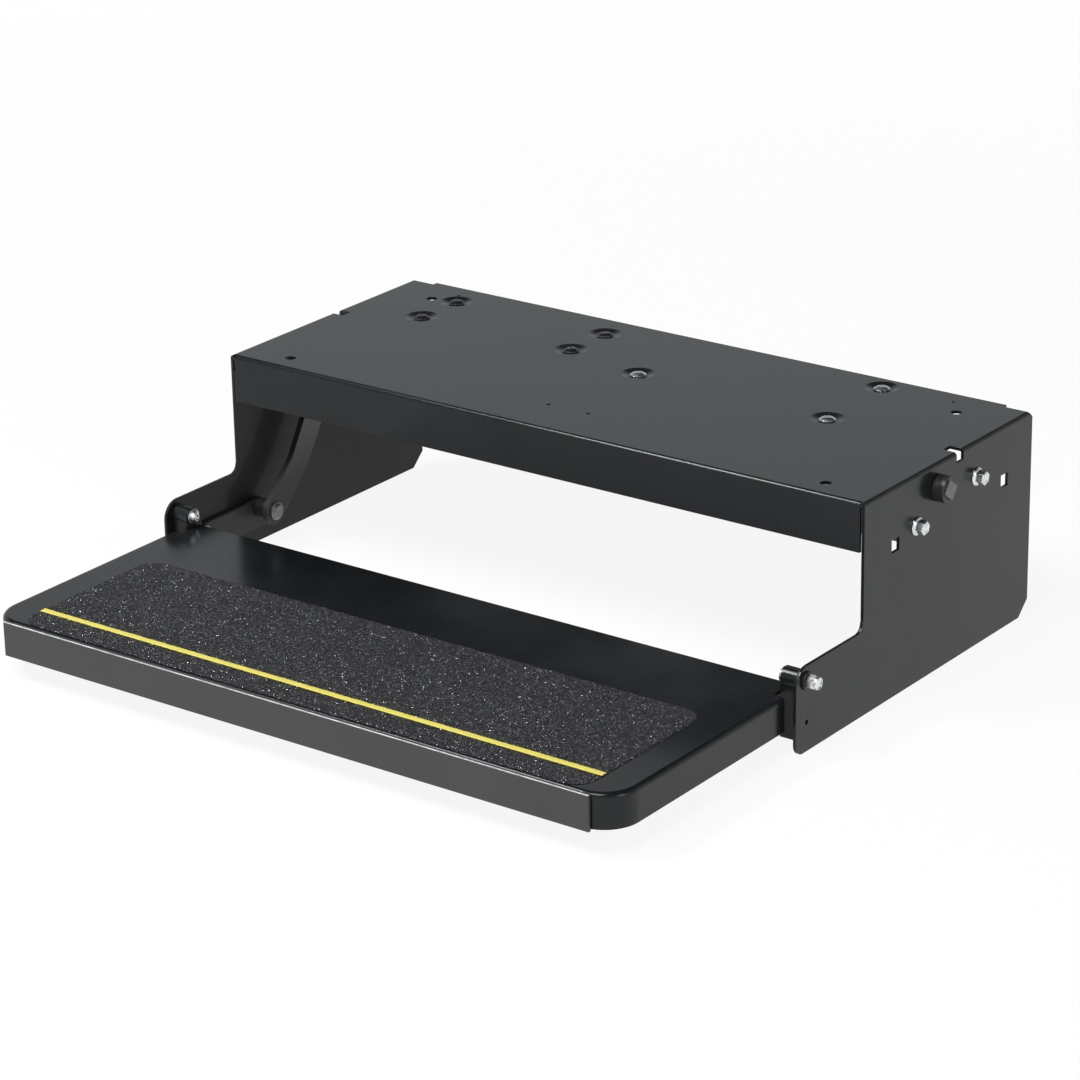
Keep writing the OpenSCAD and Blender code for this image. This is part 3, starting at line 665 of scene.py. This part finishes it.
def grip_surface():
    """The mat as one gritty skin: a fine grid whose grains stand up unevenly, edge rolled down."""
    lo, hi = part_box("grip_mat")
    line_lo, line_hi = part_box("mat_stripe")
    r = MAT_CORNER
    pitch = 1.25 * MM
    nx = int((hi[0] - lo[0]) / pitch) + 1
    ny = int((hi[1] - lo[1]) / pitch) + 1
    xs = np.linspace(lo[0], hi[0], nx)
    ys = np.linspace(lo[1], hi[1], ny)
    gx, gy = np.meshgrid(xs, ys)
    rng = np.random.default_rng(11)
    inside = rounded_mask(gx, gy, lo, hi, r)
    # points outside the rounded corners are pulled in to the corner's arc
    for _ in range(3):
        out = inside < 0
        cx = np.clip(gx, lo[0] + r, hi[0] - r)
        cy = np.clip(gy, lo[1] + r, hi[1] - r)
        d = np.hypot(gx - cx, gy - cy) + 1e-9
        gx = np.where(out, cx + (gx - cx) * r / d, gx)
        gy = np.where(out, cy + (gy - cy) * r / d, gy)
        inside = rounded_mask(gx, gy, lo, hi, r)
    height = hi[2] - 0.00035 + 0.00035 * rng.random((ny, nx)) ** 2 * 1.4
    height += 0.00008 * (smooth_noise(rng, (ny, nx), 9) - 0.5)
    edge = np.clip(inside / 0.0012, 0, 1)
    z = lo[2] + (height - lo[2]) * (0.35 + 0.65 * edge)
    # a shallow bed for the yellow line
    bed = (gy > line_lo[1] - 0.0004) & (gy < line_hi[1] + 0.0004)
    z = np.where(bed, lo[2] + 0.0006, z)
    gx = gx + 0.0003 * (rng.random((ny, nx)) - 0.5) * edge
    top = np.stack([gx, gy, z], -1).reshape(-1, 3)
    rim = np.concatenate([np.arange(nx), (np.arange(1, ny) * nx + nx - 1),
                          ((ny - 1) * nx + np.arange(nx - 2, -1, -1)),
                          (np.arange(ny - 2, 0, -1) * nx)])
    foot = top[rim].copy()
    foot[:, 2] = lo[2] + 0.00002
    verts = np.concatenate([top, foot])
    i = (np.arange(ny - 1)[:, None] * nx + np.arange(nx - 1)[None, :]).ravel()
    faces = [tuple(q) for q in np.stack([i, i + 1, i + nx + 1, i + nx], -1)]
    n, base = len(rim), len(top)
    faces += [(int(rim[(k + 1) % n]), int(rim[k]), base + k, base + (k + 1) % n) for k in range(n)]
    faces.append(tuple(base + k for k in range(n - 1, -1, -1)))
    me = bpy.data.meshes.new("grip_surface")
    me.from_pydata([tuple(v) for v in verts], [], [tuple(int(a) for a in f) for f in faces])
    me.materials.append(GRIT)
    obj = bpy.data.objects.new("grip_surface", me)
    bpy.context.scene.collection.objects.link(obj)
    bm = bmesh.new()
    bm.from_mesh(me)
    bmesh.ops.remove_doubles(bm, verts=bm.verts, dist=1e-7)
    bmesh.ops.recalc_face_normals(bm, faces=bm.faces)
    bm.to_mesh(me)
    bm.free()
    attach(obj, "tread_body")
    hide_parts("grip_mat")


def line_strip():
    """The yellow line: a thin strip that follows the grain and has soft, slightly uneven edges."""
    lo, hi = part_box("mat_stripe")
    rng = np.random.default_rng(5)
    n, across = 420, 7
    xs = np.linspace(lo[0] + 0.0006, hi[0] - 0.0006, n)
    wob = 0.00016 * (smooth_noise(rng, (1, n), 5)[0] - 0.5)
    bm = bmesh.new()
    grid = []
    for k in range(across):
        t = k / (across - 1)
        y = lo[1] + (hi[1] - lo[1]) * t
        drop = 0.00035 if k in (0, across - 1) else 0.0
        ring = []
        for i, x in enumerate(xs):
            z = hi[2] - 0.0001 - drop + 0.00022 * (rng.random() - 0.5)
            ring.append(bm.verts.new((x, y + wob[i] * (1 if t > 0.5 else -1), z)))
        grid.append(ring)
    under = [[bm.verts.new((v.co.x, v.co.y, lo[2] + 0.0003)) for v in grid[j]] for j in (0, -1)]
    for a, b in zip(grid, grid[1:]):
        for i in range(n - 1):
            bm.faces.new((a[i], a[i + 1], b[i + 1], b[i]))
    for i in range(n - 1):
        bm.faces.new((under[0][i], under[0][i + 1], grid[0][i + 1], grid[0][i]))
        bm.faces.new((grid[-1][i], grid[-1][i + 1], under[1][i + 1], under[1][i]))
        bm.faces.new((under[1][i], under[1][i + 1], under[0][i + 1], under[0][i]))
    for i, flip in ((0, False), (n - 1, True)):
        loop = [g[i] for g in grid] + [under[1][i], under[0][i]]
        bm.faces.new(loop if flip else list(reversed(loop)))
    bmesh.ops.recalc_face_normals(bm, faces=bm.faces)
    obj = add("line_strip", bm, YELLOW, "tread_body")
    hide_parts("mat_stripe")


# Stage
def white_for_camera(name, base, lift):
    """Pale surface that the camera and reflections see near white, with its shadow kept."""
    m = Mat(name)
    m.link(m.mix(m.noise(3.0, 2.0), base, tuple(c * 0.985 for c in base)), m.p.inputs["Base Color"])
    m.set(Roughness=0.9)
    glow = m.t.nodes.new("ShaderNodeEmission")
    glow.inputs["Strength"].default_value = WHITE_STRENGTH
    path = m.t.nodes.new("ShaderNodeLightPath")
    seen = m.math("MAXIMUM", path.outputs["Is Camera Ray"],
                  m.math("MAXIMUM", path.outputs["Is Glossy Ray"],
                         path.outputs["Is Transmission Ray"]))
    # fully white away from the object, so that the floor's edge doesn't show
    away = m.t.nodes.new("ShaderNodeVectorMath")
    away.operation = "LENGTH"
    m.link(m.co, away.inputs[0])
    lift = m.span(away.outputs["Value"], lift, 1.0, *LIFT_SPAN)
    mix = m.t.nodes.new("ShaderNodeMixShader")
    m.link(m.math("MULTIPLY", seen, lift), mix.inputs[0])
    m.link(m.p.outputs[0], mix.inputs[1])
    m.link(glow.outputs[0], mix.inputs[2])
    m.link(mix.outputs[0], m.out.inputs["Surface"])
    return m.m


def area(name, at, aim, size, power):
    light = bpy.data.lights.new(name, "AREA")
    light.shape = "RECTANGLE"
    light.size, light.size_y = size
    light.energy = power
    obj = bpy.data.objects.new(name, light)
    bpy.context.scene.collection.objects.link(obj)
    obj.matrix_world = facing(Vector(at), Vector(at) - Vector(aim))


def stage():
    bm = bmesh.new()
    bmesh.ops.create_grid(bm, x_segments=8, y_segments=8, size=FLOOR_HALF,
                          matrix=Matrix.Translation((0, 0, FLOOR_Z)))
    me = bpy.data.meshes.new("floor")
    bm.to_mesh(me)
    bm.free()
    floor = bpy.data.objects.new("floor", me)
    me.materials.append(white_for_camera("floor_white", (FLOOR_GREY,) * 3, FLOOR_LIFT))
    bpy.context.scene.collection.objects.link(floor)

    world = bpy.data.worlds.new("studio")
    bpy.context.scene.world = world
    world.use_nodes = True
    t = world.node_tree
    t.nodes.clear()
    out = t.nodes.new("ShaderNodeOutputWorld")
    plain, white, mix = (t.nodes.new("ShaderNodeBackground"), t.nodes.new("ShaderNodeBackground"),
                         t.nodes.new("ShaderNodeMixShader"))
    path = t.nodes.new("ShaderNodeLightPath")
    plain.inputs["Color"].default_value = (*AIR, 1)
    # a pale band at the horizon and a darker ceiling above it
    co, sep, band = (t.nodes.new(k) for k in ("ShaderNodeTexCoord", "ShaderNodeSeparateXYZ",
                                              "ShaderNodeMapRange"))
    band.interpolation_type = "SMOOTHSTEP"
    for k, v in (("From Min", CEILING_LOW), ("From Max", CEILING_HIGH),
                 ("To Min", BAND), ("To Max", CEILING)):
        band.inputs[k].default_value = v
    t.links.new(co.outputs["Generated"], sep.inputs[0])
    t.links.new(sep.outputs["Z"], band.inputs["Value"])
    t.links.new(band.outputs[0], plain.inputs["Strength"])
    white.inputs["Color"].default_value = (1, 1, 1, 1)
    white.inputs["Strength"].default_value = WHITE_STRENGTH
    t.links.new(path.outputs["Is Camera Ray"], mix.inputs[0])
    t.links.new(plain.outputs[0], mix.inputs[1])
    t.links.new(white.outputs[0], mix.inputs[2])
    t.links.new(mix.outputs[0], out.inputs[0])

    for light in LIGHTS:
        area(*light)


def camera():
    az, el, roll = (math.radians(a) for a in (CAM_AZIMUTH, CAM_ELEVATION, CAM_ROLL))
    back = Vector((math.sin(az) * math.cos(el), -math.cos(az) * math.cos(el), math.sin(el)))
    right = Vector((math.cos(az), math.sin(az), 0))
    up = back.cross(right)
    turned = right * math.cos(roll) + up * math.sin(roll)
    up = back.cross(turned)
    data = bpy.data.cameras.new("camera")
    data.lens = CAM_LENS
    data.sensor_width = 36.0
    data.clip_end = 50
    cam = bpy.data.objects.new("camera", data)
    at = CAM_AIM + back * CAM_DISTANCE
    cam.matrix_world = Matrix(((turned.x, up.x, back.x, at.x), (turned.y, up.y, back.y, at.y),
                               (turned.z, up.z, back.z, at.z), (0, 0, 0, 1)))
    bpy.context.scene.collection.objects.link(cam)
    bpy.context.scene.camera = cam


def main():
    rng = random.Random(7)
    camera()
    dress_frame()
    fasteners(rng)
    welds(rng)
    grip_surface()
    line_strip()
    stage()
    bpy.context.scene.view_settings.view_transform = "Standard"


main()
